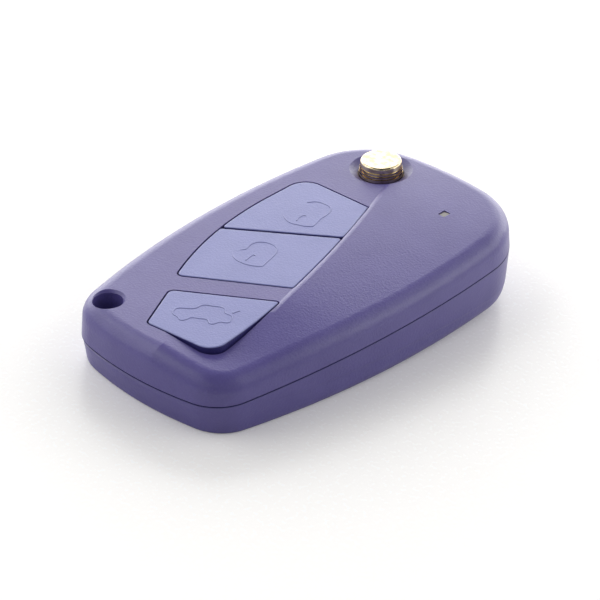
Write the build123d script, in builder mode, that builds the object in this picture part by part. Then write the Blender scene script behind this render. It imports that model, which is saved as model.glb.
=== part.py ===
from build123d import *
from math import cos, radians, sin, sqrt, tan
import os

# Flip key remote shell, in millimetres.
# The flat back lies on Z = 0, +Y points to the end where the blade comes out, +X to the sloped wing.
# The two halves meet in a plane that leans against the back, so everything inside is placed on it.

# Case, measured in the seam plane
case_length = 74.0
near_half_width = 15.9
near_bow = 2.25
far_left_half_width = 18.4
far_right_half_width = 19.35
far_bow = 3.0
left_belly = 21.25
right_belly = 20.6
near_left_radius = 7.9
near_right_radius = 7.2
far_left_radius = 13.0
far_right_radius = 14.2

# Heights of the case
seam_tilt = 3.93
seam_lean = 1.53
seam_height = 7.1
seam_place = (0.25, -0.15)
top_height = 6.1
side_draft = 4.0
top_round = 3.0
wing_round = 3.0
wing_stock = 16.0
right_edge = 21.0
foot_draft = 0.5
foot_near_round = 0.4
foot_middle_round = 1.5
foot_far_round = 3.8
side_wall = 1.5
roof_wall = 1.5
floor_wall = 1.4
seam_groove_height = 0.14
seam_groove_depth = 0.3
ledge_depth = 1.2
ledge_width = 1.1
rim_gap = 0.1
rim_setback = 1.0

# Crease between the level top and the wing: its place at mid length, lean and curve
crease_middle = 4.81
crease_lean = -0.28
crease_curve = -0.0025
crease_step = 0.9
ridge_round = 1.6
ridge_depth = 2.4
ridge_height = 1.5
ridge_margin = 1.0
ridge_least_width = 3.5
ridge_lift = 0.01

# Keys
key_rise = 0.05
key_gap = 0.25
key_groove = 0.4
key_edge_round = 0.2
key_travel = 0.4
key_inset = 0.3
key_flange = 0.7
flange_thickness = 0.6
flange_top = 3.6
guide_wall = 0.9
key_pivot_distance = 11.05
key_straight = 8.85
keys_near_left = -8.9
keys_near_inset = 18.0
keys_right_inset = 27.6
key_left_edge = 15.1
key_far_radius = 3.4
key_near_radius = 0.9
key_groove_radius = 0.5
groove_place = (-5.6, 1.5)
groove_angle = 33.8

# Trunk key: its corners, across the case and from the ring end
trunk_near_left = (-2.5, 5.5)
trunk_far_left = (-6.6, 14.25)
trunk_far_right = (8.1, 23.3)
trunk_right_middle = (9.5, 15.5)
trunk_near_right = (10.3, 6.6)
trunk_left_radius = 1.0
trunk_far_right_radius = 0.4
trunk_near_right_radius = 2.8

# Board, mat and switches
board_bottom = 0.2
board_thickness = 0.8
board_margin = 0.35
board_past_window = 2.0
board_wing_start = 2.3
mat_thickness = 0.5
mat_foot = 1.0
mat_margin = 0.6
dome_radius = 2.2
plunger_radius = 0.9
plunger_clearance = 0.06
plunger_end_gap = 0.05
switch_size = 3.6
switch_height = 0.6
switch_chamfer = 0.4
switch_gap = 0.3
unlock_place = (-7.0, 9.5)
lock_place = (-4.0, -7.0)
trunk_inset = (2.5, 14.0)
chip_size = 5.0
chip_height = 0.75
chip_chamfer = 0.15
chip_place = (11.0, 13.0)
crystal_length = 4.5
crystal_width = 2.0
crystal_height = 0.7
crystal_round = 0.15
crystal_place = (12.5, 4.0)
led_size = 1.6
led_height = 0.7

# Coin cell and its metal parts
cell_radius = 10.0
cell_height = 3.2
cell_round = 0.25
cell_step_width = 1.2
cell_step_height = 0.25
cell_place = (5.6, -7.5)
strip_thickness = 0.3
strip_width = 5.0
clip_lift = 0.4
contact_start = -7.0
contact_foot = -3.5
contact_tip = 3.0
cell_gap = 0.35
well_wall = 0.9
well_opening = 6.0
well_top = -1.5

# Transponder, in a pocket on the floor
transponder_length = 12.0
transponder_width = 6.0
transponder_height = 3.0
transponder_chamfer = 0.3
transponder_place = (9.5, 14.0)
pocket_gap = 0.2
pocket_wall = 0.8

# Pivot (across the case and from the blade end), release button and flip head
pivot_inset = (-7.9, 9.1)
button_top_radius = 3.42
button_foot_radius = 3.77
button_proud = 1.8
button_gap = 0.15
button_travel = 1.5
button_edge_round = 0.35
grip_groove_step = 0.5
grip_groove_width = 0.2
grip_groove_depth = 0.05
collar_radius = 4.6
collar_thickness = 1.5
collar_gap = 0.15
stem_radius = 2.2
stem_length = 6.5
dish_radius = 5.3
dish_depth = 0.8
hub_radius = 8.1
boss_radius = 5.9
boss_gap = 0.3
bearing_clearance = 0.08
bearing_wall = 1.1
deck_thickness = 1.0
deck_reach = 7.6
arm_width = 9.0
arm_reach = 14.5
arm_thickness = 4.0
arm_drop = 0.3
arm_round = 1.2
blade_offset = 4.8
blade_width = 7.6
blade_thickness = 2.2
blade_tip_inset = 11.0
blade_point = 4.0
blade_socket = 7.0
blade_groove_width = 2.2
blade_groove_depth = 0.45
blade_groove_start = 1.5
blade_pin_radius = 0.75
bay_clearance = 0.3
bay_wall = 0.9
spring_radius = 3.2
spring_wire = 0.6
spring_turns = 6
spring_seat = -7.0
spring_gap = 0.3
seat_wall = 2.0

# Key-ring hole (across the case and from the ring end), screw and status light (from the blade end)
ring_inset = (-11.7, 6.0)
ring_hole_radius = 2.4
ring_hole_wall = 1.3
ring_hole_chamfer = 0.4
screw_inset = (8.3, 7.4)
screw_radius = 0.9
screw_clearance = 0.15
screw_length = 11.0
screw_head_radius = 2.0
screw_head_height = 1.2
screw_sink = 0.4
screw_slot = 0.5
screw_slot_length = 2.6
screw_roof = 0.6
screw_boss_radius = 2.7
window_inset = (9.05, 12.8)
window_width = 1.3
window_length = 1.6
window_recess = 0.15
window_flange = 0.6
window_flange_drop = 0.7
window_flange_thickness = 0.7
window_surface = 5.75

half_length = case_length / 2
reach = case_length
tilt = radians(seam_tilt)
lean = radians(seam_lean)
seam = Plane(
    origin=(*seam_place, seam_height),
    x_dir=(cos(lean), 0, sin(lean)),
    z_dir=(-sin(lean) * cos(tilt), -sin(tilt), cos(lean) * cos(tilt)),
)
up = Axis(seam.origin, seam.z_dir)


def level(height):
    """Level plane at a height above the back, its origin straight below that of the seam."""
    return Plane(origin=seam.origin - seam.z_dir * ((seam_height - height) / seam.z_dir.Z))


def from_ring_end(inset):
    return (inset[0], inset[1] - half_length)


def from_blade_end(inset):
    return (inset[0], half_length - inset[1])


back = level(0.0)
floor = level(floor_wall)
ring_hole = from_ring_end(ring_inset)
trunk_place = from_ring_end(trunk_inset)
pivot = from_blade_end(pivot_inset)
screw_place = from_blade_end(screw_inset)
window_place = from_blade_end(window_inset)
blade_tip = blade_tip_inset - half_length
key_far_edge = pivot[1] - key_pivot_distance
board_far_edge = pivot[1] - hub_radius - bay_clearance
board_wing_edge = window_place[1] + board_past_window
rim_end = board_far_edge - rim_setback
deck_edge = pivot[1] - deck_reach
top_draft = top_height * tan(radians(side_draft))
ceiling = top_height - roof_wall
board_top = board_bottom + board_thickness
mat_bottom = board_top + switch_height + switch_gap
mat_top = mat_bottom + mat_thickness
plunger_height = mat_bottom - board_top - key_travel - plunger_end_gap
flange_bottom = flange_top - flange_thickness
cell_top = board_bottom - strip_thickness
cell_bottom = cell_top - cell_height
arm_top = -arm_drop
arm_bottom = arm_top - arm_thickness
bay_floor = arm_bottom - bay_clearance
blade_middle = pivot[0] - blade_offset
blade_bottom = (arm_top + arm_bottom - blade_thickness) / 2
arm_left = blade_middle - arm_width / 2
arm_right = blade_middle + arm_width / 2
arm_near = pivot[1] - arm_reach
bay_right = arm_right + bay_clearance
bay_near = blade_tip - 2 * bay_clearance
open_right = 2 * pivot[0] - arm_left + bay_clearance
boss_top = ceiling - boss_gap
button_top = top_height + button_proud
grip_bottom = top_height - dish_depth
collar_bottom = ceiling - collar_thickness
pocket_floor = collar_bottom - button_travel - boss_gap


def back_height(u, v, above=0.0):
    """Height, from the seam, of the plane that lies above the back by the given amount."""
    return (above - seam_height - u * seam.x_dir.Z - v * seam.y_dir.Z) / seam.z_dir.Z


def crease(v):
    return crease_middle + crease_lean * v + crease_curve * v**2


def case_plan(near=0.0, far=None, middle=None):
    """Plan of the case, drawn in by near at the ring end, far at the blade end, middle between."""
    far = near if far is None else far
    middle = near if middle is None else middle
    near_left = (near - near_half_width, near + near_bow - half_length)
    near_right = (near_half_width - near, near + near_bow - half_length)
    far_left = (far - far_left_half_width, half_length - far_bow - far)
    far_right = (far_right_half_width - far, half_length - far_bow - far)
    corners = [
        (near_left, near_left_radius - near),
        (near_right, near_right_radius - near),
        (far_left, far_left_radius - far),
        (far_right, far_right_radius - far),
    ]
    with BuildSketch() as plan:
        with BuildLine():
            ThreePointArc(near_left, (middle - left_belly, 0), far_left)
            ThreePointArc(far_left, (0, half_length - far), far_right)
            ThreePointArc(far_right, (right_belly - middle, 0), near_right)
            ThreePointArc(near_right, (0, near - half_length), near_left)
        make_face()
        for corner, radius in corners:
            fillet(plan.vertices().sort_by_distance((*corner, 0))[0], radius=radius)
    return plan.sketch


def foot_plan(height, wall=0.0):
    """Plan of the lower half at a height above the back, whose rounding grows to the blade end."""
    stations = [
        (-half_length, foot_near_round),
        (half_length, foot_far_round),
        (0.0, foot_middle_round),
    ]
    insets = []
    for place, radius in stations:
        rest = max(radius - height, 0.0)
        draft = foot_draft * (1 + height / back_height(0.0, place))
        insets.append(wall + draft + radius - sqrt(radius**2 - rest**2))
    return case_plan(*insets)


def upper_keys_plan(grow=0.0):
    """Common outline of the unlock and lock keys: their right side follows the crease."""
    near_edge = keys_near_inset - half_length
    right_end = keys_right_inset - half_length
    left_middle = (-key_left_edge, key_far_edge - key_straight)
    middle = (key_far_edge + right_end) / 2
    far_left = (-key_left_edge, key_far_edge)
    far_right = (crease(key_far_edge) - key_inset, key_far_edge)
    near_right = (crease(right_end) - key_inset, right_end)
    near_left = (keys_near_left, near_edge)
    with BuildSketch() as plan:
        with BuildLine():
            TangentArc(left_middle, near_left, tangent=(0, -1))
            Line(left_middle, far_left)
            Line(far_left, far_right)
            ThreePointArc(far_right, (crease(middle) - key_inset, middle), near_right)
            Line(near_right, near_left)
        make_face()
        fillet(plan.vertices().sort_by_distance((*far_left, 0))[0], radius=key_far_radius)
        fillet(plan.vertices().sort_by_distance((*near_left, 0))[0], radius=key_near_radius)
        fillet(plan.vertices().sort_by_distance((*near_right, 0))[0], radius=key_groove_radius)
        if grow:
            offset(amount=grow, kind=Kind.INTERSECTION)
    return plan.sketch


def half_keys_plan(side, grow=0.0):
    """The unlock key (side 1) or the lock key (side -1): the common outline cut along the groove."""
    shift = side * key_groove / 2
    turned = radians(groove_angle)
    place = (groove_place[0] - shift * sin(turned), groove_place[1] + shift * cos(turned), 0)
    with BuildSketch() as plan:
        add(upper_keys_plan(grow))
        with Locations(Location(place, (0, 0, groove_angle))):
            Rectangle(
                reach,
                reach,
                align=(Align.CENTER, Align.MIN if side > 0 else Align.MAX),
                mode=Mode.INTERSECT,
            )
        groove_side = plan.edges().sort_by_distance(place)[0]
        fillet(groove_side.vertices(), radius=key_groove_radius)
    return plan.sketch


def trunk_key_plan(grow=0.0):
    """Outline of the trunk key, a leaning quadrangle with one large round corner."""
    near_left = from_ring_end(trunk_near_left)
    far_left = from_ring_end(trunk_far_left)
    far_right = from_ring_end(trunk_far_right)
    near_right = from_ring_end(trunk_near_right)
    corners = [
        (near_left, trunk_left_radius),
        (far_left, trunk_left_radius),
        (far_right, trunk_far_right_radius),
        (near_right, trunk_near_right_radius),
    ]
    with BuildSketch() as plan:
        with BuildLine():
            Line(near_left, far_left)
            Line(far_left, far_right)
            ThreePointArc(far_right, from_ring_end(trunk_right_middle), near_right)
            Line(near_right, near_left)
        make_face()
        for corner, radius in corners:
            fillet(plan.vertices().sort_by_distance((*corner, 0))[0], radius=radius)
        if grow:
            offset(amount=grow, kind=Kind.INTERSECTION)
    return plan.sketch


# Stations along the case for the top surface:
# place along the case, where the wing starts, height of the ridge there, fall at the right edge
wing_stations = [
    (-half_length - 3.0, -3.0, 0.0, 3.0),
    (6.0 - half_length, 1.0, 0.0, 2.4),
    (15.0 - half_length, 6.0, 0.0, 2.1),
    (24.0 - half_length, crease(24.0 - half_length), 0.35, 1.8),
    (-4.0, crease(-4.0), 0.5, 1.7),
    (5.0, crease(5.0), 0.5, 1.6),
    (14.0, crease(14.0), 0.5, 1.4),
    (half_length - 14.0, crease(half_length - 14.0), 0.4, 1.1),
    (half_length - 5.0, crease(half_length - 5.0), 0.1, 0.8),
    (half_length + 3.0, crease(half_length + 3.0), 0.0, 0.6),
]
ridge_stations = wing_stations[2:-1]


def wing_slope(start, ridge, fall):
    return (ridge + fall) / (right_edge - start)


def above_wing(lift):
    """Space above the wing's surface, which is carried on to the left over the whole case."""
    with BuildPart() as space:
        for v, start, ridge, fall in wing_stations:
            slope = wing_slope(start, ridge, fall)
            middle = top_height + ridge + lift + slope * start
            station = Plane(
                origin=seam.from_local_coords((0, v, 0)),
                x_dir=seam.x_dir,
                z_dir=-seam.y_dir,
            )
            with BuildSketch(station):
                with BuildLine():
                    Polyline(
                        (-half_length, middle + slope * half_length),
                        (half_length, middle - slope * half_length),
                        (half_length, reach),
                        (-half_length, reach),
                        close=True,
                    )
                make_face()
        loft()
    return space.part


# Stock under the wing's surface, with the rolled edge where that surface meets the walls
with BuildPart() as wing_body:
    with BuildSketch(seam):
        add(case_plan())
    with BuildSketch(seam.offset(wing_stock)):
        add(case_plan(top_draft * wing_stock / top_height))
    loft(ruled=True)
    add(above_wing(0.0), mode=Mode.SUBTRACT)
    wing_face = wing_body.faces().filter_by(lambda face: face.normal_at(face.center()).dot(seam.z_dir) > 0.5)
    fillet(wing_face.edges(), radius=wing_round)

# The raised strip along the crease: its left wall is rolled over, its top is cut to the wing later
with BuildPart() as ridge:
    ridge_left = [(crease(v) - crease_step, v) for v, start, ridge_rise, fall in ridge_stations]
    ridge_right = []
    for v, start, ridge_rise, fall in ridge_stations:
        level_place = start + ridge_rise / wing_slope(start, ridge_rise, fall)
        least_place = crease(v) - crease_step + ridge_least_width
        ridge_right.append((max(level_place + ridge_margin, least_place), v))
    with BuildSketch(seam.offset(top_height - ridge_depth)):
        with BuildLine():
            Spline(*ridge_left)
            Line(ridge_left[-1], ridge_right[-1])
            Spline(*reversed(ridge_right))
            Line(ridge_right[0], ridge_left[0])
        make_face()
    extrude(amount=ridge_depth + ridge_height)
    add(above_wing(ridge_lift), mode=Mode.SUBTRACT)
    left_wall = ridge.faces().filter_by(lambda face: face.normal_at(face.center()).dot(seam.x_dir) < -0.5)
    fillet(left_wall.edges().sort_by(up)[-1], radius=ridge_round)

# Room inside the upper shell: what stands down from the roof or up the walls is left out of it
with BuildPart() as upper_room:
    with BuildSketch(seam):
        add(case_plan(side_wall))
    with BuildSketch(seam.offset(ceiling)):
        add(case_plan(side_wall + top_draft * ceiling / top_height))
    loft(ruled=True)
    add(above_wing(-roof_wall), mode=Mode.SUBTRACT)
    # guides round the keys
    with BuildSketch(seam.offset(flange_top)):
        add(upper_keys_plan(key_gap + guide_wall))
        add(trunk_key_plan(key_gap + guide_wall))
    extrude(amount=top_height, mode=Mode.SUBTRACT)
    # tube of the key-ring hole, boss of the screw, bearing of the flip head
    with BuildSketch(seam):
        with Locations(ring_hole):
            Circle(ring_hole_radius + ring_hole_wall)
        with Locations(screw_place):
            Circle(screw_boss_radius)
        with Locations(pivot):
            Circle(boss_radius + bearing_clearance + bearing_wall)
    extrude(amount=top_height, mode=Mode.SUBTRACT)
    # deck over the bay of the flip head
    with BuildSketch(seam):
        with Locations((open_right, deck_edge)):
            Rectangle(reach, reach, align=(Align.MAX, Align.MIN))
    extrude(amount=deck_thickness, mode=Mode.SUBTRACT)

with BuildPart() as upper_shell:
    with BuildSketch(seam):
        add(case_plan())
    with BuildSketch(seam.offset(top_height)):
        add(case_plan(top_draft))
    loft(ruled=True)
    fillet(upper_shell.faces().sort_by(up)[-1].edges(), radius=top_round)
    add(ridge.part)
    add(wing_body.part, mode=Mode.INTERSECT)
    add(upper_room.part, mode=Mode.SUBTRACT)
    # dished recess of the release button
    with BuildSketch(seam.offset(top_height - dish_depth)):
        with Locations(pivot):
            Circle(button_foot_radius + button_gap)
    with BuildSketch(seam.offset(top_height + dish_depth)):
        with Locations(pivot):
            Circle(2 * dish_radius - button_foot_radius - button_gap)
    loft(mode=Mode.SUBTRACT)
    # bore of the flip head's boss, then of the button above it
    with BuildSketch(seam):
        with Locations(pivot):
            Circle(boss_radius + bearing_clearance)
    extrude(amount=ceiling, mode=Mode.SUBTRACT)
    with BuildSketch(seam):
        with Locations(pivot):
            Circle(button_foot_radius + button_gap)
    extrude(amount=reach, mode=Mode.SUBTRACT)
    # openings of the keys
    with BuildSketch(seam):
        add(upper_keys_plan(key_gap))
        add(trunk_key_plan(key_gap))
    extrude(amount=reach, mode=Mode.SUBTRACT)
    # room of the trunk key's flange, under the lower part of the wing
    with BuildSketch(seam.offset(mat_top)):
        add(trunk_key_plan(key_flange + key_gap))
    extrude(amount=flange_top - mat_top, mode=Mode.SUBTRACT)
    # key-ring hole with its broken edge, and light window
    with BuildSketch(seam.offset(top_height - ring_hole_chamfer)):
        with Locations(ring_hole):
            Circle(ring_hole_radius)
    with BuildSketch(seam.offset(top_height + ring_hole_chamfer)):
        with Locations(ring_hole):
            Circle(ring_hole_radius + 2 * ring_hole_chamfer)
    loft(mode=Mode.SUBTRACT)
    with BuildSketch(seam):
        with Locations(ring_hole):
            Circle(ring_hole_radius)
        with Locations(window_place):
            Rectangle(window_width, window_length)
    extrude(amount=reach, mode=Mode.SUBTRACT)
    with BuildSketch(seam):
        with Locations(screw_place):
            Circle(screw_radius)
    extrude(amount=ceiling - screw_roof, mode=Mode.SUBTRACT)
    # fine groove along the seam
    with BuildSketch(seam):
        add(case_plan(-1))
        add(case_plan(seam_groove_depth), mode=Mode.SUBTRACT)
    extrude(amount=seam_groove_height, mode=Mode.SUBTRACT)

# Bay of the flip head and the blade, open at the left side and round the far left corner
with BuildPart() as bay:
    with BuildSketch(seam.offset(bay_floor)):
        with Locations((bay_right, bay_near)):
            Rectangle(reach, pivot[1] - bay_near, align=(Align.MAX, Align.MIN))
        with Locations((open_right, pivot[1])):
            Rectangle(reach, reach, align=(Align.MAX, Align.MIN))
        with Locations(pivot):
            Circle(hub_radius + bay_clearance)
    extrude(amount=-bay_floor + board_bottom)

# Room inside the lower shell
with BuildPart() as lower_room:
    with BuildSketch(floor):
        add(foot_plan(floor_wall, side_wall))
    with BuildSketch(seam):
        add(case_plan(side_wall))
    loft(ruled=True)
    # solid under the bay, and the wall beside it
    with BuildSketch(seam.offset(-reach)):
        with Locations((bay_right + bay_wall, bay_near)):
            Rectangle(reach, reach, align=(Align.MAX, Align.MIN))
        with Locations((open_right + bay_wall, pivot[1] - hub_radius)):
            Rectangle(reach, reach, align=(Align.MAX, Align.MIN))
    extrude(amount=reach, mode=Mode.SUBTRACT)
    # key-ring tube and screw boss
    with BuildSketch(seam.offset(-reach)):
        with Locations(ring_hole):
            Circle(ring_hole_radius + ring_hole_wall)
        with Locations(screw_place):
            Circle(screw_boss_radius)
    extrude(amount=reach, mode=Mode.SUBTRACT)
    # ledge that carries the board
    with BuildSketch(seam.offset(-ledge_depth)):
        add(case_plan())
        add(case_plan(side_wall + ledge_width), mode=Mode.SUBTRACT)
    extrude(amount=ledge_depth, mode=Mode.SUBTRACT)
    # well round the coin cell, open where the clip's legs stand
    with BuildSketch(seam.offset(-reach)):
        with Locations(cell_place):
            Circle(cell_radius + cell_gap + well_wall)
            Circle(cell_radius + cell_gap, mode=Mode.SUBTRACT)
            Rectangle(reach, well_opening, mode=Mode.SUBTRACT)
    extrude(amount=reach + well_top, mode=Mode.SUBTRACT)
    # pocket of the transponder
    with BuildSketch(floor):
        with Locations(transponder_place):
            Rectangle(
                transponder_length + 2 * (pocket_gap + pocket_wall),
                transponder_width + 2 * (pocket_gap + pocket_wall),
            )
            Rectangle(
                transponder_length + 2 * pocket_gap,
                transponder_width + 2 * pocket_gap,
                mode=Mode.SUBTRACT,
            )
    extrude(amount=transponder_height / 2, mode=Mode.SUBTRACT)

foot_steps = (0.0, 0.1, 0.3, 0.6, 1.0)
with BuildPart() as lower_shell:
    for share in foot_steps:
        with BuildSketch(level(share * foot_far_round)):
            add(foot_plan(share * foot_far_round))
    loft()
    with BuildSketch(level(foot_far_round)):
        add(foot_plan(foot_far_round))
    with BuildSketch(seam):
        add(case_plan())
    loft(ruled=True)
    add(lower_room.part, mode=Mode.SUBTRACT)
    # rim that carries the board, standing a little above the seam inside the upper shell
    with BuildSketch(seam):
        add(case_plan(side_wall + rim_gap))
        add(case_plan(side_wall + ledge_width), mode=Mode.SUBTRACT)
        with Locations((bay_right, bay_near)):
            Rectangle(bay_wall, rim_end - bay_near, align=(Align.MIN, Align.MIN))
        with Locations(ring_hole):
            Circle(ring_hole_radius + ring_hole_wall + boss_gap, mode=Mode.SUBTRACT)
        with Locations((0, rim_end)):
            Rectangle(reach, reach, align=(Align.CENTER, Align.MIN), mode=Mode.SUBTRACT)
    extrude(amount=board_bottom)
    add(bay.part, mode=Mode.SUBTRACT)
    # seat of the spring and of the flip head
    with BuildSketch(seam.offset(spring_seat)):
        with Locations(pivot):
            Circle(spring_radius + spring_wire / 2 + spring_gap)
    extrude(amount=reach, mode=Mode.SUBTRACT)
    with BuildSketch(seam.offset(bay_floor)):
        with Locations(pivot):
            Circle(spring_radius + spring_wire / 2 + spring_gap + seat_wall)
            Circle(spring_radius + spring_wire / 2 + spring_gap, mode=Mode.SUBTRACT)
    extrude(amount=bay_clearance)
    # key-ring hole and screw hole with its sunk head
    with BuildSketch(seam.offset(-reach)):
        with Locations(ring_hole):
            Circle(ring_hole_radius)
        with Locations(screw_place):
            Circle(screw_radius + screw_clearance)
    extrude(amount=2 * reach, mode=Mode.SUBTRACT)
    with BuildSketch(seam.offset(-reach)):
        with Locations(screw_place):
            Circle(screw_head_radius + screw_clearance)
    extrude(
        amount=reach + back_height(*screw_place) + screw_sink + screw_head_height,
        mode=Mode.SUBTRACT,
    )


def key_body(plan, wide_plan):
    """A key cap: its flange stays under the guides, its top edge is rounded."""
    with BuildPart() as key:
        with BuildSketch(seam.offset(flange_bottom)):
            add(plan)
        extrude(amount=top_height + key_rise - flange_bottom)
        fillet(key.faces().sort_by(up)[-1].edges(), radius=key_edge_round)
        with BuildSketch(seam.offset(flange_bottom)):
            add(wide_plan)
        extrude(amount=flange_thickness)
    return key.part


unlock_key = key_body(half_keys_plan(1), half_keys_plan(1, key_flange))
lock_key = key_body(half_keys_plan(-1), half_keys_plan(-1, key_flange))
trunk_key = key_body(trunk_key_plan(), trunk_key_plan(key_flange))


def board_plan(margin):
    """Room for the board and the mat between the walls, clear of the key-ring tube."""
    with BuildSketch() as plan:
        add(case_plan(side_wall + margin))
        with Locations(ring_hole):
            Circle(ring_hole_radius + ring_hole_wall + board_margin, mode=Mode.SUBTRACT)
    return plan.sketch


with BuildPart() as circuit_board:
    with BuildSketch(seam.offset(board_bottom)):
        add(board_plan(board_margin))
        with Locations((board_wing_start, board_far_edge)):
            Rectangle(reach, reach, align=(Align.MAX, Align.MIN), mode=Mode.SUBTRACT)
        with Locations((0, board_wing_edge)):
            Rectangle(reach, reach, align=(Align.CENTER, Align.MIN), mode=Mode.SUBTRACT)
    extrude(amount=board_thickness)

with BuildPart() as keypad_mat:
    with BuildSketch(seam.offset(mat_bottom)):
        add(board_plan(mat_margin))
        with Locations((0, board_far_edge)):
            Rectangle(reach, reach, align=(Align.CENTER, Align.MIN), mode=Mode.SUBTRACT)
    extrude(amount=mat_thickness)
    with BuildSketch(seam.offset(board_top)):
        add(case_plan(side_wall + mat_margin))
        add(case_plan(side_wall + mat_margin + mat_foot), mode=Mode.SUBTRACT)
        with Locations(ring_hole):
            Circle(ring_hole_radius + ring_hole_wall + board_margin, mode=Mode.SUBTRACT)
        with Locations((0, board_far_edge)):
            Rectangle(reach, reach, align=(Align.CENTER, Align.MIN), mode=Mode.SUBTRACT)
    extrude(amount=mat_bottom - board_top)
    with BuildSketch(seam.offset(mat_top)):
        with Locations(unlock_place, lock_place, trunk_place):
            Circle(dome_radius)
    extrude(amount=flange_bottom - mat_top, taper=20)


def switch_body(place):
    with BuildPart() as body:
        with BuildSketch(seam.offset(board_top)):
            with Locations(place):
                Rectangle(switch_size, switch_size)
        extrude(amount=switch_height)
        chamfer(body.edges().filter_by(up), length=switch_chamfer)
        with BuildSketch(seam.offset(board_top)):
            with Locations(place):
                Circle(plunger_radius + plunger_clearance)
        extrude(amount=switch_height, mode=Mode.SUBTRACT)
    return body.part


def switch_plunger(place):
    with BuildPart() as plunger:
        with BuildSketch(seam.offset(mat_bottom - plunger_height)):
            with Locations(place):
                Circle(plunger_radius)
        extrude(amount=plunger_height)
    return plunger.part


unlock_switch = switch_body(unlock_place)
lock_switch = switch_body(lock_place)
trunk_switch = switch_body(trunk_place)
unlock_plunger = switch_plunger(unlock_place)
lock_plunger = switch_plunger(lock_place)
trunk_plunger = switch_plunger(trunk_place)

with BuildPart() as microcontroller:
    with BuildSketch(seam.offset(board_top)):
        with Locations(chip_place):
            Rectangle(chip_size, chip_size)
    extrude(amount=chip_height)
    chamfer(microcontroller.faces().sort_by(up)[-1].edges(), length=chip_chamfer)

with BuildPart() as crystal:
    with BuildSketch(seam.offset(board_top)):
        with Locations(crystal_place):
            SlotOverall(crystal_length, crystal_width)
    extrude(amount=crystal_height)
    fillet(crystal.faces().sort_by(up)[-1].edges(), radius=crystal_round)

with BuildPart() as status_led:
    with BuildSketch(seam.offset(board_top)):
        with Locations(window_place):
            Rectangle(led_size, led_size / 2)
    extrude(amount=led_height)

with BuildPart() as light_window:
    with BuildSketch(seam.offset(board_top + led_height)):
        with Locations(window_place):
            Rectangle(window_width, window_length)
    extrude(amount=window_surface - window_recess - board_top - led_height)
    with BuildSketch(seam.offset(ceiling - window_flange_drop - window_flange_thickness)):
        with Locations(window_place):
            Rectangle(window_width + 2 * window_flange, window_length + 2 * window_flange)
    extrude(amount=window_flange_thickness)

with BuildPart() as coin_cell:
    with BuildSketch(seam.offset(cell_bottom)):
        with Locations(cell_place):
            Circle(cell_radius)
    extrude(amount=cell_height)
    fillet(coin_cell.edges(), radius=cell_round)
    # step of the negative pole
    with BuildSketch(seam.offset(cell_bottom)):
        with Locations(cell_place):
            Circle(cell_radius)
            Circle(cell_radius - cell_step_width, mode=Mode.SUBTRACT)
    extrude(amount=cell_step_height, mode=Mode.SUBTRACT)

with BuildPart() as cell_clip:
    clip_length = 2 * (cell_radius + strip_thickness)
    with BuildSketch(seam.offset(cell_top)):
        with Locations(cell_place):
            Rectangle(clip_length, strip_width)
    extrude(amount=strip_thickness)
    with BuildSketch(seam.offset(cell_bottom + clip_lift)):
        with Locations(cell_place):
            Rectangle(clip_length, strip_width)
            Rectangle(clip_length - 2 * strip_thickness, strip_width, mode=Mode.SUBTRACT)
    extrude(amount=cell_height - clip_lift)

with BuildPart() as cell_contact:
    left_side = cell_place[0] - strip_width / 2
    side_plane = Plane(
        origin=seam.from_local_coords((left_side, 0, 0)),
        x_dir=seam.y_dir,
        z_dir=seam.x_dir,
    )
    foot_start = cell_place[1] + contact_start
    foot_end = cell_place[1] + contact_foot
    tip_end = cell_place[1] + contact_tip
    start_height = back_height(left_side, foot_start, floor_wall)
    end_height = back_height(left_side, foot_end, floor_wall)
    with BuildSketch(side_plane):
        Polygon(
            (foot_start, start_height),
            (foot_end, end_height),
            (cell_place[1], cell_bottom - strip_thickness),
            (tip_end, cell_bottom - 2 * strip_thickness),
            (tip_end, cell_bottom - strip_thickness),
            (cell_place[1], cell_bottom),
            (foot_end, end_height + strip_thickness),
            (foot_start, start_height + strip_thickness),
            align=None,
        )
    extrude(amount=strip_width)

with BuildPart() as transponder_chip:
    with BuildSketch(floor):
        with Locations(transponder_place):
            Rectangle(transponder_length, transponder_width)
    extrude(amount=transponder_height)
    chamfer(transponder_chip.faces().sort_by(Axis.Z)[-1].edges(), length=transponder_chamfer)

with BuildPart() as release_button:
    with BuildSketch(seam.offset(grip_bottom)):
        with Locations(pivot):
            Circle(button_foot_radius)
    with BuildSketch(seam.offset(button_top)):
        with Locations(pivot):
            Circle(button_top_radius)
    loft()
    fillet(release_button.faces().sort_by(up)[-1].edges(), radius=button_edge_round)
    with BuildSketch(seam.offset(grip_bottom)):
        with Locations(pivot):
            Circle(button_foot_radius)
    extrude(amount=collar_bottom - grip_bottom)
    with BuildSketch(seam.offset(collar_bottom)):
        with Locations(pivot):
            Circle(collar_radius)
    extrude(amount=collar_thickness)
    with BuildSketch(seam.offset(collar_bottom)):
        with Locations(pivot):
            Circle(stem_radius)
    extrude(amount=-stem_length)
    # three turned grooves round the grip
    for groove in range(3):
        with BuildSketch(seam.offset(grip_bottom + (groove + 1) * grip_groove_step)):
            with Locations(pivot):
                Circle(collar_radius)
                Circle(button_top_radius - grip_groove_depth, mode=Mode.SUBTRACT)
        extrude(amount=grip_groove_width, mode=Mode.SUBTRACT)

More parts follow.
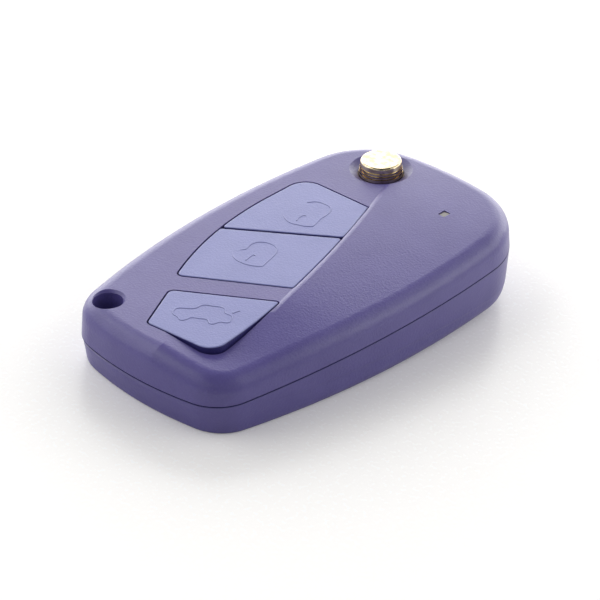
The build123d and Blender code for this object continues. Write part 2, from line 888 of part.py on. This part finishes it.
with BuildPart() as flip_head:
    with BuildSketch(seam.offset(arm_bottom)):
        with Locations(pivot):
            Circle(hub_radius)
        with Locations((arm_right, arm_near)):
            Rectangle(arm_width, arm_reach, align=(Align.MAX, Align.MIN))
    extrude(amount=arm_thickness)
    fillet(
        flip_head.edges().filter_by(up).group_by(Axis.Y)[0],
        radius=arm_round,
    )
    with BuildSketch(seam.offset(arm_top)):
        with Locations(pivot):
            Circle(boss_radius)
    extrude(amount=boss_top - arm_top)
    # pocket of the button's collar and bore of the spring
    with BuildSketch(seam.offset(pocket_floor)):
        with Locations(pivot):
            Circle(collar_radius + collar_gap)
    extrude(amount=reach, mode=Mode.SUBTRACT)
    with BuildSketch(seam.offset(arm_bottom)):
        with Locations(pivot):
            Circle(spring_radius + spring_wire / 2 + spring_gap)
    extrude(amount=reach, mode=Mode.SUBTRACT)
    # socket of the blade and hole of its pin
    with BuildSketch(seam.offset(blade_bottom)):
        with Locations((blade_middle, arm_near)):
            Rectangle(blade_width, blade_socket, align=(Align.CENTER, Align.MIN))
    extrude(amount=blade_thickness, mode=Mode.SUBTRACT)
    with BuildSketch(seam.offset(arm_bottom)):
        with Locations((blade_middle, arm_near + blade_socket / 2)):
            Circle(blade_pin_radius)
    extrude(amount=arm_thickness, mode=Mode.SUBTRACT)

with BuildPart() as key_blade:
    with BuildSketch(seam.offset(blade_bottom)):
        Polygon(
            (blade_middle - blade_width / 2, arm_near + blade_socket),
            (blade_middle - blade_width / 2, blade_tip + blade_point),
            (blade_middle - blade_width / 6, blade_tip),
            (blade_middle + blade_width / 6, blade_tip),
            (blade_middle + blade_width / 2, blade_tip + blade_point),
            (blade_middle + blade_width / 2, arm_near + blade_socket),
            align=None,
        )
    extrude(amount=blade_thickness)
    groove_end = arm_near - blade_groove_start
    for height in (blade_bottom, blade_bottom + blade_thickness - blade_groove_depth):
        with BuildSketch(seam.offset(height)):
            with Locations((blade_middle, groove_end)):
                Rectangle(
                    blade_groove_width,
                    groove_end - blade_tip - blade_point,
                    align=(Align.CENTER, Align.MAX),
                )
        extrude(amount=blade_groove_depth, mode=Mode.SUBTRACT)
    with BuildSketch(seam.offset(blade_bottom)):
        with Locations((blade_middle, arm_near + blade_socket / 2)):
            Circle(blade_pin_radius)
    extrude(amount=blade_thickness, mode=Mode.SUBTRACT)

with BuildPart() as blade_pin:
    with BuildSketch(seam.offset(arm_bottom)):
        with Locations((blade_middle, arm_near + blade_socket / 2)):
            Circle(blade_pin_radius)
    extrude(amount=arm_thickness)

with BuildPart() as hub_spring:
    spring_height = collar_bottom - spring_seat - spring_wire
    spring_pitch = spring_height / spring_turns
    spring_base = seam.from_local_coords((*pivot, spring_seat + spring_wire / 2))
    with BuildLine() as coil:
        Helix(
            pitch=spring_pitch,
            height=spring_height,
            radius=spring_radius,
            center=spring_base,
            direction=seam.z_dir,
        )
    with BuildSketch(Plane(origin=coil.line @ 0, z_dir=coil.line % 0)):
        Circle(spring_wire / 2)
    sweep(path=coil.line, is_frenet=True)

with BuildPart() as case_screw:
    head_bottom = back_height(*screw_place) + screw_sink
    with BuildSketch(seam.offset(head_bottom)):
        with Locations(screw_place):
            Circle(screw_head_radius)
    extrude(amount=screw_head_height)
    with BuildSketch(seam.offset(head_bottom)):
        with Locations(screw_place):
            Circle(screw_radius)
    extrude(amount=screw_length)
    with BuildSketch(seam.offset(head_bottom)):
        with Locations(screw_place):
            Rectangle(screw_slot_length, screw_slot)
            Rectangle(screw_slot, screw_slot_length)
    extrude(amount=screw_head_height / 2, mode=Mode.SUBTRACT)

nodes = {
    "upper_shell": upper_shell.part,
    "lower_shell": lower_shell.part,
    "unlock_key": unlock_key,
    "lock_key": lock_key,
    "trunk_key": trunk_key,
    "keypad_mat": keypad_mat.part,
    "circuit_board": circuit_board.part,
    "unlock_switch": unlock_switch,
    "lock_switch": lock_switch,
    "trunk_switch": trunk_switch,
    "unlock_plunger": unlock_plunger,
    "lock_plunger": lock_plunger,
    "trunk_plunger": trunk_plunger,
    "microcontroller": microcontroller.part,
    "crystal": crystal.part,
    "status_led": status_led.part,
    "light_window": light_window.part,
    "coin_cell": coin_cell.part,
    "cell_clip": cell_clip.part,
    "cell_contact": cell_contact.part,
    "transponder_chip": transponder_chip.part,
    "release_button": release_button.part,
    "flip_head": flip_head.part,
    "key_blade": key_blade.part,
    "blade_pin": blade_pin.part,
    "hub_spring": hub_spring.part,
    "case_screw": case_screw.part,
}
os.makedirs("parts", exist_ok=True)
for name, part in nodes.items():
    part.label = name
    export_step(part, f"parts/{name}.step")
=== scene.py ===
# %% [markdown]
# # A flip key remote, dressed for its photograph
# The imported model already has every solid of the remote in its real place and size.
# Blender could rebuild them as meshes, but then the keys and the case might no longer fit.
# So the solids stay as they are, and this lesson gives them their finishes, the raised
# signs on the keys, a studio and a camera.

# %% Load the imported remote
from math import cos, pi, radians, sin, tan

import bpy
from mathutils import Matrix, Vector


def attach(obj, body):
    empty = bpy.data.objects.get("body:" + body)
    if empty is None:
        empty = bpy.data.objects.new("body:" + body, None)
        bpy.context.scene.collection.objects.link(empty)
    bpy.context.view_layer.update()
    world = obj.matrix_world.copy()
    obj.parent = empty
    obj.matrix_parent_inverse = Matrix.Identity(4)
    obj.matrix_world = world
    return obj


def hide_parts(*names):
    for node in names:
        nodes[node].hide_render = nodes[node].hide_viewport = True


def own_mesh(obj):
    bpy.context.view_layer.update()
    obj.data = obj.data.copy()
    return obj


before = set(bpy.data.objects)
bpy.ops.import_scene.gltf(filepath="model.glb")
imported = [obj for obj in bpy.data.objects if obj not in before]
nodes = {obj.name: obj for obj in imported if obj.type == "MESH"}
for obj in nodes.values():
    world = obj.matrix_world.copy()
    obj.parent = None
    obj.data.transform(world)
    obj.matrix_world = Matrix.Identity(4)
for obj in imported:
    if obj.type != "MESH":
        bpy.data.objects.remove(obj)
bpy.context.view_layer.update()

# %% [markdown]
# The two halves of the case meet in a plane that leans a little against the flat back.
# The keys, their signs and the light window all lie parallel to that seam, so it is
# easiest to name points by how far they are across, along and above it. One function
# turns such a point, in millimetres, into the metres of the model.

# %% Points measured from the seam of the case
MM = 0.001
seam_tilt = radians(3.93)
seam_lean = radians(1.53)
seam_middle = Vector((0.25, -0.15, 7.1))
seam_across = Vector((cos(seam_lean), 0, sin(seam_lean)))
seam_up = Vector(
    (-sin(seam_lean) * cos(seam_tilt), -sin(seam_tilt), cos(seam_lean) * cos(seam_tilt))
)
seam_along = seam_up.cross(seam_across)
pivot_across, pivot_along = -7.9, 27.9


def seam_point(across, along, above):
    return MM * (seam_middle + across * seam_across + along * seam_along + above * seam_up)


pivot = seam_point(pivot_across, pivot_along, 0)
print("the blade turns about", [round(1000 * c, 2) for c in pivot], "mm")

# %% [markdown]
# A finish is a handful of nodes that work with numbers varying over the surface.
# Wiring Math nodes by hand makes even a small sum hard to read. This class wraps a
# socket, so that an ordinary sum such as 0.4 + 0.1 * grain adds the Math nodes itself.

# %% Shader maths as Python sums
class Varying:
    """A number that changes over the surface, held by the output socket of a node."""

    def __init__(self, tree, socket):
        self.tree = tree
        self.socket = socket

    def math(self, operation, *others):
        node = self.tree.nodes.new("ShaderNodeMath")
        node.operation = operation
        for slot, term in zip(node.inputs, others or (self,)):
            if isinstance(term, Varying):
                self.tree.links.new(term.socket, slot)
            else:
                slot.default_value = term
        return Varying(self.tree, node.outputs[0])

    def __add__(self, other):
        return self.math("ADD", self, other)

    def __sub__(self, other):
        return self.math("SUBTRACT", self, other)

    def __mul__(self, other):
        return self.math("MULTIPLY", self, other)

    def __rsub__(self, other):
        return self.math("SUBTRACT", other, self)

    __radd__ = __add__
    __rmul__ = __mul__

    def above(self, edge, width):
        """0 below the edge and 1 above it, turning over within the width."""
        node = self.tree.nodes.new("ShaderNodeMapRange")
        node.interpolation_type = "SMOOTHSTEP"
        self.tree.links.new(self.socket, node.inputs["Value"])
        node.inputs["From Min"].default_value = edge - width / 2
        node.inputs["From Max"].default_value = edge + width / 2
        return Varying(self.tree, node.outputs["Result"])


print("sums of surface values add their own Math nodes")

# %% [markdown]
# Every finish ends in one Principled shader. What is the same all over, such as how
# metallic the surface is, goes straight on the shader's own sockets. What varies goes
# in as a link. The method node takes the kind of node, its settings and its inputs.

# %% A finish with one Principled shader
class Finish:
    def __init__(self, name, **constants):
        self.material = bpy.data.materials.new(name)
        self.material.use_nodes = True
        self.tree = self.material.node_tree
        self.tree.nodes.clear()
        output = self.tree.nodes.new("ShaderNodeOutputMaterial")
        self.shader = self.tree.nodes.new("ShaderNodeBsdfPrincipled")
        self.tree.links.new(self.shader.outputs[0], output.inputs["Surface"])
        self.place = self.node("TexCoord").outputs["Object"]
        for socket, value in constants.items():
            self.shader.inputs[socket.replace("_", " ")].default_value = value

    def node(self, kind, settings=(), inputs=()):
        node = self.tree.nodes.new("ShaderNode" + kind)
        for setting, value in dict(settings).items():
            setattr(node, setting, value)
        for socket, value in dict(inputs).items():
            self.feed(node.inputs[socket], value)
        return node

    def feed(self, socket, value):
        if isinstance(value, Varying):
            value = value.socket
        if isinstance(value, bpy.types.NodeSocket):
            self.tree.links.new(value, socket)
        else:
            socket.default_value = value

    def stretched(self, across, along, above):
        """The place on the piece, stretched so that a pattern gets long in one direction."""
        inputs = {0: self.place, 1: (across, along, above)}
        return self.node("VectorMath", {"operation": "MULTIPLY"}, inputs).outputs[0]

    def grain(self, size_mm, detail=2.0, place=None):
        """Cloudy noise from 0 to 1, whose patches have the given size."""
        inputs = {"Vector": place or self.place, "Scale": 1 / (size_mm * MM), "Detail": detail}
        return Varying(self.tree, self.node("TexNoise", (), inputs).outputs[0])

    def cells(self, size_mm, feature="F1"):
        """Distance to the middle of the nearest cell, for a pebbled surface."""
        inputs = {"Vector": self.place, "Scale": 1 / (size_mm * MM)}
        return Varying(self.tree, self.node("TexVoronoi", {"feature": feature}, inputs).outputs[0])

    def mix(self, share, first, second):
        """A colour between two others."""
        node = self.node("Mix", {"data_type": "RGBA"})
        self.feed(node.inputs[0], share)
        self.feed(node.inputs[6], first)
        self.feed(node.inputs[7], second)
        return node.outputs[2]

    def colour(self, value):
        self.feed(self.shader.inputs["Base Color"], value)

    def roughness(self, value):
        self.feed(self.shader.inputs["Roughness"], value)

    def relief(self, height, depth_mm):
        """Makes the surface look as deep as height says, where 1 is depth_mm."""
        inputs = {"Height": height, "Distance": depth_mm * MM, "Strength": 1.0}
        bump = self.node("Bump", (), inputs)
        self.feed(self.shader.inputs["Normal"], bump.outputs[0])


def rgb(red, green, blue):
    """A colour as it is read off a screen, from 0 to 255, for a shader's colour socket."""
    shares = [part / 255 for part in (red, green, blue)]
    return (*[s / 12.92 if s < 0.04 else ((s + 0.055) / 1.055) ** 2.4 for s in shares], 1.0)


print("a finish is ready to take colours, grain and relief")

# %% [markdown]
# The case is moulded in a blue-violet plastic whose mould was spark-eroded. That leaves
# a fine pebbled grain, a few tenths of a millimetre across, which scatters light and
# gives the surface a pale haze where it is seen at a low angle. A smooth plastic with
# a dull roughness would look like paint. So the grain is built as relief from two
# sizes of noise and small cells, and the roughness follows it.
#
# The seam between the halves is a groove only a few hundredths of a millimetre high. Its
# shade is painted into the colour: the colour deepens to a dark navy close to the plane of
# the seam. The gaps round the keys get the same painted shade: the colour deepens on the
# walls of the keys, which face sideways.

# %% Moulded plastic of the case and the keys
# Painted shade: a dark navy that the colour turns to in the seam groove and on the key walls.
painted_groove_shade = rgb(46, 42, 104)
groove_half_mm = 0.13
groove_edge_mm = 0.1
cloud_mm = 6.0
handling_mm = 14.0


def painted_seam_shade(finish):
    """1 in the groove of the seam, where shade is painted into the colour, and 0 away from it."""
    from_seam = {0: finish.place, 1: MM * seam_middle}
    centred = finish.node("VectorMath", {"operation": "SUBTRACT"}, from_seam)
    upwards = {0: centred.outputs[0], 1: seam_up}
    height = finish.node("VectorMath", {"operation": "DOT_PRODUCT"}, upwards)
    away = Varying(finish.tree, height.outputs["Value"]).math("ABSOLUTE")
    return 1 - away.above(groove_half_mm * MM, groove_edge_mm * MM)


def painted_gap_shade(finish):
    """1 on the walls of a key, inside its gap, where shade is painted into the colour, and 0 on
    its top.
    """
    facing = {0: finish.node("TexCoord").outputs["Normal"], 1: seam_up}
    upward = finish.node("VectorMath", {"operation": "DOT_PRODUCT"}, facing)
    return 1 - Varying(finish.tree, upward.outputs["Value"]).above(0.5, 0.6)


def spark_eroded(name, dark, light, grain_mm, depth_mm, dullness, shaded=painted_seam_shade):
    finish = Finish(name, Specular_IOR_Level=0.5, IOR=1.5)
    fine = finish.grain(grain_mm, detail=3.0)
    pebbles = finish.cells(1.6 * grain_mm)
    clouds = finish.grain(cloud_mm, detail=3.0)
    handling = finish.grain(handling_mm, detail=1.0)
    plastic = finish.mix((0.55 * clouds + 0.45 * fine).above(0.5, 0.6), dark, light)
    # Painted shade: the colour turns to the dark navy where the shade mask is 1.
    finish.colour(finish.mix(shaded(finish), plastic, painted_groove_shade))
    finish.roughness(dullness + 0.1 * (fine - 0.5) + 0.08 * (handling - 0.5))
    finish.relief(0.6 * fine + 0.4 * pebbles, depth_mm)
    return finish.material


case_dark, case_light = rgb(86, 78, 140), rgb(97, 89, 152)
key_dark, key_light = rgb(118, 122, 178), rgb(129, 133, 189)
case_plastic = spark_eroded("case_plastic", case_dark, case_light, 0.26, 0.05, 0.33)
# The keys get painted shade on their sideways walls instead of in the seam groove.
key_plastic = spark_eroded("key_plastic", key_dark, key_light, 0.24, 0.05, 0.32, painted_gap_shade)
print("made", case_plastic.name, "and", key_plastic.name)

# %% [markdown]
# The release button is a turned metal cap with a thick bright plating. Plating is nearly
# a mirror, so most of its look is what it reflects. It only needs a slightly warm tone
# with brighter patches, and a little unevenness from handling.

# %% Bright plating of the release button
def plated(name, colour, bright, dullness):
    finish = Finish(name, Metallic=1.0)
    smears = finish.grain(1.2, detail=3.0)
    finish.colour(finish.mix(smears.above(0.5, 0.35), colour, bright))
    finish.roughness(dullness + 0.12 * (smears - 0.4))
    finish.relief(finish.grain(0.5, detail=1.0), 0.008)
    return finish.material


plating = plated("plating", rgb(192, 174, 138), rgb(226, 212, 182), 0.1)
print("made", plating.name)

# %% [markdown]
# Inside are stamped, milled and drawn metals. They differ in colour and in how their
# tool marks run, so one function stretches the noise along the marks of each.

# %% Bare metals of the blade, the springs and the battery clips
spot_mm = 2.5
spot_shade = 0.82


def worked_metal(name, colour, dullness, marks=(1.0, 1.0, 1.0), mark_mm=0.3):
    finish = Finish(name, Metallic=1.0)
    lines = finish.grain(mark_mm, detail=3.0, place=finish.stretched(*marks))
    spots = finish.grain(spot_mm, detail=4.0)
    shaded = (*[spot_shade * part for part in colour[:3]], 1.0)
    finish.colour(finish.mix(spots.above(0.55, 0.5), colour, shaded))
    finish.roughness(dullness + 0.18 * (lines - 0.5) + 0.08 * (spots - 0.5))
    finish.relief(lines, 0.006)
    return finish.material


blade_steel = worked_metal("blade_steel", rgb(206, 204, 198), 0.28, (1.0, 0.04, 1.0), 0.12)
head_metal = worked_metal("head_metal", rgb(120, 120, 124), 0.45, mark_mm=0.5)
spring_steel = worked_metal("spring_steel", rgb(176, 176, 178), 0.25, mark_mm=0.2)
switch_steel = worked_metal("switch_steel", rgb(205, 205, 205), 0.3, mark_mm=0.2)
cell_steel = worked_metal("cell_steel", rgb(212, 212, 210), 0.3, mark_mm=0.3)
contact_metal = worked_metal("contact_metal", rgb(214, 206, 178), 0.25, (1.0, 0.1, 1.0), 0.15)
screw_metal = worked_metal("screw_metal", rgb(140, 140, 144), 0.38, mark_mm=0.25)
print("made seven bare metals")

# %% [markdown]
# The other pieces are moulded, cast or printed: black chips, a milky silicone mat, a
# green board and small clear parts. Each is a plastic with its own colour and grain.

# %% Plastics, silicone and the board inside
def moulded(name, colour, second, dullness, grain_mm, depth_mm, **constants):
    finish = Finish(name, **constants)
    grain = finish.grain(grain_mm, detail=3.0)
    finish.colour(finish.mix(grain, colour, second))
    finish.roughness(dullness + 0.15 * (grain - 0.5))
    finish.relief(grain, depth_mm)
    return finish.material


black, dark_grey = rgb(42, 42, 45), rgb(54, 54, 57)
milky, milky_light = rgb(186, 190, 196), rgb(196, 200, 205)
cream, cream_dark = rgb(224, 221, 212), rgb(214, 210, 200)
yellowish, yellowish_dark = rgb(236, 228, 196), rgb(228, 220, 190)
smoked, smoked_light = rgb(112, 106, 104), rgb(126, 119, 115)
black_moulding = moulded("black_moulding", black, dark_grey, 0.5, 0.25, 0.01)
silicone = moulded("silicone", milky, milky_light, 0.55, 0.6, 0.01, Subsurface_Weight=0.1)
plunger_plastic = moulded("plunger_plastic", cream, cream_dark, 0.4, 0.3, 0.005)
led_clear = moulded("led_clear", yellowish, yellowish_dark, 0.15, 0.4, 0.004, Coat_Weight=0.5)
window_plastic = moulded("window_plastic", smoked, smoked_light, 0.22, 0.5, 0.004)


def board_green():
    """Solder mask over copper tracks: the tracks show as paler, slightly raised bands."""
    patch_mm, track_share = 3.2, 0.12
    finish = Finish("board_green", Coat_Weight=0.6, Coat_Roughness=0.12)
    tracks = finish.cells(patch_mm, "DISTANCE_TO_EDGE")
    copper = 1 - tracks.above(track_share, 0.05)
    speckle = finish.grain(0.4)
    mask = finish.mix(speckle, rgb(20, 92, 52), rgb(26, 104, 60))
    finish.colour(finish.mix(copper, mask, rgb(66, 140, 82)))
    finish.roughness(0.32 + 0.1 * (speckle - 0.5))
    finish.relief(copper, 0.03)
    return finish.material


board_mask = board_green()
print("made the plastics, the silicone and the board")

# %% [markdown]
# Each solid of the model takes its finish by name. Assigning a material to the solid's
# own slot changes nothing in its shape, so the imported model stays as it was.

# %% Dress the solids
finish_of = {
    "upper_shell": case_plastic,
    "lower_shell": case_plastic,
    "unlock_key": key_plastic,
    "lock_key": key_plastic,
    "trunk_key": key_plastic,
    "keypad_mat": silicone,
    "circuit_board": board_mask,
    "unlock_switch": switch_steel,
    "lock_switch": switch_steel,
    "trunk_switch": switch_steel,
    "unlock_plunger": plunger_plastic,
    "lock_plunger": plunger_plastic,
    "trunk_plunger": plunger_plastic,
    "microcontroller": black_moulding,
    "crystal": switch_steel,
    "status_led": led_clear,
    "light_window": window_plastic,
    "coin_cell": cell_steel,
    "cell_clip": contact_metal,
    "cell_contact": contact_metal,
    "transponder_chip": black_moulding,
    "release_button": plating,
    "flip_head": head_metal,
    "key_blade": blade_steel,
    "blade_pin": spring_steel,
    "hub_spring": spring_steel,
    "case_screw": screw_metal,
}
for name, material in finish_of.items():
    nodes[name].data.materials.clear()
    nodes[name].data.materials.append(material)
print("dressed", len(finish_of), "of", len(nodes), "solids")

# %% [markdown]
# The coil spring under the release button gets shorter when the button goes in. A solid
# can't do that by itself, so a copy of the coil stands for it, fixed to the case, while the
# solid coil is hidden. How much of the coil would be kept follows from its own length and
# the travel of the button.

# %% A copy of the release spring
button_travel = 1.5
coil = bpy.data.objects.new("release_spring", nodes["hub_spring"].data.copy())
bpy.context.scene.collection.objects.link(coil)
heights = [(corner.co / MM - seam_middle) @ seam_up for corner in coil.data.vertices]
coil_low, coil_high = min(heights), max(heights)
coil_kept = 1 - button_travel / (coil_high - coil_low)
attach(coil, "case")
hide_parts("hub_spring")
coil_foot = seam_point(pivot_across, pivot_along, coil_low)
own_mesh(coil)

# %% [markdown]
# The signs on the keys are thin raised lines: a closed padlock, an open one and a car
# with its lid up. They could be cut into the caps with a boolean, but a line that
# stands up is a round bead half sunk in the cap, and a curve with a bevel is just that.
# A Bezier point with automatic handles gives a round stretch, and one with vector
# handles gives a corner. Thumbs have worn the padlocks on their left, where the bead
# gets thinner, so it hardly stands out of the cap any more.

# %% A raised line on a key
key_top = 6.15
bead_radius = 0.15
bead_sink = 0.07
worn_share = 0.6


def raised_line(name, body, points, corners=(), worn=(), closed=False):
    curve = bpy.data.curves.new(name, "CURVE")
    curve.dimensions = "3D"
    curve.bevel_depth = bead_radius * MM
    curve.bevel_resolution = 3
    curve.resolution_u = 8
    curve.use_fill_caps = True
    spline = curve.splines.new("BEZIER")
    spline.bezier_points.add(len(points) - 1)
    spline.use_cyclic_u = closed
    for number, (point, (across, along)) in enumerate(zip(spline.bezier_points, points)):
        point.co = seam_point(across, along, key_top - bead_sink)
        point.radius = worn_share if number in worn else 1.0
        kind = "VECTOR" if number in corners else "AUTO"
        point.handle_left_type = kind
        point.handle_right_type = kind
    line = bpy.data.objects.new(name, curve)
    bpy.context.scene.collection.objects.link(line)
    bpy.context.view_layer.update()
    final_line = line.evaluated_get(bpy.context.evaluated_depsgraph_get())
    mesh = bpy.data.meshes.new_from_object(final_line)
    bpy.data.objects.remove(line)
    bead = bpy.data.objects.new(name, mesh)
    bpy.context.scene.collection.objects.link(bead)
    mesh.materials.clear()
    mesh.materials.append(key_plastic)
    for face in mesh.polygons:
        face.use_smooth = True
    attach(bead, body)


closed_lock = [
    (-6.4, -6.1), (-6.7, -5.0), (-6.75, -4.1), (-6.4, -3.25), (-5.5, -2.55), (-4.6, -2.3),
    (-3.5, -2.4), (-2.6, -3.0), (-2.0, -3.9), (-1.6, -5.1), (-1.25, -6.75), (-0.9, -8.0),
    (-1.75, -8.75), (-2.75, -9.25), (-4.0, -9.5), (-5.0, -9.5), (-5.75, -9.3),
    (-6.75, -8.8), (-7.45, -8.1), (-7.0, -7.1),
]
open_lock = [
    (-9.25, 11.25), (-8.25, 12.4), (-6.9, 12.75), (-5.25, 12.5), (-4.5, 11.5), (-4.2, 10.5),
    (-4.1, 9.0), (-3.7, 7.5), (-3.4, 6.3), (-4.25, 5.5), (-5.4, 5.0), (-6.75, 4.6),
    (-7.75, 4.75), (-8.4, 5.05), (-9.3, 5.5), (-10.0, 6.15), (-9.55, 7.6), (-9.2, 9.2),
]
closed_keyhole = [(-4.0, -6.6), (-4.4, -6.4), (-4.25, -7.5), (-4.05, -8.6)]
open_keyhole = [(-6.5, 7.9), (-6.9, 7.7), (-6.9, 6.75), (-6.5, 5.75)]
raised_line("lock_sign", "lock_key", closed_lock, (11, 18), worn=(17, 18, 19), closed=True)
raised_line("lock_sign_keyhole", "lock_key", closed_keyhole, (1,))
raised_line("unlock_sign", "unlock_key", open_lock, (8, 15), worn=(14, 15, 16, 17))
raised_line("unlock_sign_keyhole", "unlock_key", open_keyhole, (1,))
print("two padlocks stand", round(bead_radius - bead_sink, 2), "mm proud of their keys")

# %% [markdown]
# The car is seen from its side, nose down to the left, with two wheels that bulge out
# of its floor and a short stroke for the open lid at the back.

# %% The car on the trunk key
car = [
    (-2.04, -25.7), (0.0, -23.8), (0.24, -22.4), (1.6, -21.5), (3.0, -20.8), (3.5, -20.9),
    (4.3, -21.6), (5.6, -21.6), (6.4, -22.5), (6.5, -23.2), (5.4, -24.0), (5.1, -25.0),
    (4.6, -25.3), (3.6, -24.8), (2.6, -25.3), (1.3, -26.2), (1.2, -27.0), (0.7, -27.6),
    (-0.2, -27.3), (-1.5, -27.1), (-2.04, -26.2),
]
raised_line("car_sign", "trunk_key", car, closed=True)
raised_line("car_sign_lid", "trunk_key", [(5.16, -20.9), (5.3, -20.3), (5.5, -19.7)])
print("the car is", round(max(x for x, y in car) - min(x for x, y in car), 1), "mm across")

# %% [markdown]
# The remote lies on white paper. The paper only has to look white to the camera, while
# it lights the remote as plain paper does. Light Path tells the camera's rays apart, so
# a little extra white is added for them alone. It gets stronger away from the remote,
# where a low camera would otherwise see the paper fade to grey.

# %% Paper under the remote
floor_size = 3.0
floor_mesh = bpy.data.meshes.new("floor")
half = floor_size / 2
corners = [(-half, -half, 0), (half, -half, 0), (half, half, 0), (-half, half, 0)]
floor_mesh.from_pydata(corners, [], [(0, 1, 2, 3)])
floor = bpy.data.objects.new("floor", floor_mesh)
bpy.context.scene.collection.objects.link(floor)
paper = Finish("paper", Specular_IOR_Level=0.3, IOR=1.5)
fibre = paper.grain(0.8, detail=3.0)
paper.colour(paper.mix(fibre, rgb(244, 242, 240), rgb(247, 246, 244)))
paper.roughness(0.25 + 0.04 * fibre)
rays = paper.node("LightPath")
seen = Varying(paper.tree, rays.outputs["Is Camera Ray"])
from_middle = paper.node("VectorMath", {"operation": "LENGTH"}, {0: paper.place})
far_away = Varying(paper.tree, from_middle.outputs["Value"]).above(0.25, 0.5)
glow_near, glow_far = 0.08, 1.0
strength = seen * (glow_near + (glow_far - glow_near) * far_away)
glow = paper.node("Emission", (), {"Color": (1, 1, 1, 1), "Strength": strength})
both = paper.node("AddShader")
paper.tree.links.new(paper.shader.outputs[0], both.inputs[0])
paper.tree.links.new(glow.outputs[0], both.inputs[1])
paper.tree.links.new(both.outputs[0], paper.tree.nodes["Material Output"].inputs["Surface"])
floor_mesh.materials.append(paper.material)
print("the paper is", floor_size, "m wide")

# %% [markdown]
# The picture was taken from above the near right corner with a long lens. A camera in
# Blender looks along its own -Z with +Y up, so its turn is written as three columns:
# to the right, up, and backwards.

# %% The camera of the photograph
camera_place = Vector((0.21186939, -0.24560519, 0.19611664))
camera_right = Vector((0.72963454, 0.68069472, 0.06548382))
camera_up = Vector((-0.39022019, 0.3358022, 0.85730105))
camera_back = camera_right.cross(camera_up)
camera_data = bpy.data.cameras.new("camera")
camera_data.sensor_width = 36.0
camera_data.lens = 140.99
camera_data.clip_start = 0.01
camera_data.clip_end = 20.0
camera = bpy.data.objects.new("camera", camera_data)
turn = Matrix((camera_right, camera_up, camera_back)).transposed().to_4x4()
camera.matrix_world = Matrix.Translation(camera_place) @ turn
bpy.context.scene.collection.objects.link(camera)
bpy.context.scene.camera = camera
print("the camera stands", round(camera_place.length, 3), "m away")

# %% [markdown]
# Wide white sheets stand behind the remote and to both sides, and only weak ones in
# front. Seen at a low angle, the grained top mirrors the sheet behind it as a pale haze,
# while the sides that face the camera keep their deep colour. Each sheet is given by
# where it stands as seen from the remote: how far round from straight behind it and how
# high, both in degrees, how wide and how tall, and how bright, where 1 is white paper.
# The room around them is dim, but the camera sees it as white as the paper.

# %% Soft lights
view_way = Vector((-camera_back.x, -camera_back.y, 0)).normalized()
side_way = Vector((view_way.y, -view_way.x, 0))
sheets = {
    "behind_low": (0, 10, 100, 20, 3.5),
    "behind": (0, 26, 100, 13, 2.3),
    "behind_high": (0, 38, 100, 11, 3.0),
    "left_low": (-80, 20, 50, 30, 1.6),
    "left_high": (-80, 50, 50, 25, 2.2),
    "right_low": (80, 20, 50, 30, 2.4),
    "right_high": (80, 50, 50, 25, 1.0),
    "front_left": (-135, 30, 60, 40, 0.6),
    "front_right": (135, 30, 60, 40, 0.3),
}


def soft_light(name, round_by, height, width, tall, brightness):
    way = cos(radians(round_by)) * view_way + sin(radians(round_by)) * side_way
    outward = cos(radians(height)) * way + Vector((0, 0, sin(radians(height))))
    data = bpy.data.lights.new(name, "AREA")
    data.shape = "RECTANGLE"
    data.size = 2 * tan(radians(width / 2))
    data.size_y = 2 * tan(radians(tall / 2))
    data.energy = pi * brightness * data.size * data.size_y
    light = bpy.data.objects.new(name, data)
    light.location = outward
    light.rotation_mode = "QUATERNION"
    light.rotation_quaternion = (-outward).to_track_quat("-Z", "Y")
    light.visible_camera = False
    bpy.context.scene.collection.objects.link(light)


for name, numbers in sheets.items():
    soft_light(name, *numbers)
world = bpy.data.worlds.new("studio")
world.use_nodes = True
world.node_tree.nodes["Background"].inputs["Color"].default_value = (1, 1, 1, 1)
room = world.node_tree
room_rays = Varying(room, room.nodes.new("ShaderNodeLightPath").outputs["Is Camera Ray"])
room_dim, room_seen = 0.1, 1.0
brightness = room_dim + (room_seen - room_dim) * room_rays
room.links.new(brightness.socket, room.nodes["Background"].inputs["Strength"])
bpy.context.scene.world = world
bpy.context.scene.view_settings.view_transform = "Standard"
print(len(sheets), "soft lights in a dim room")
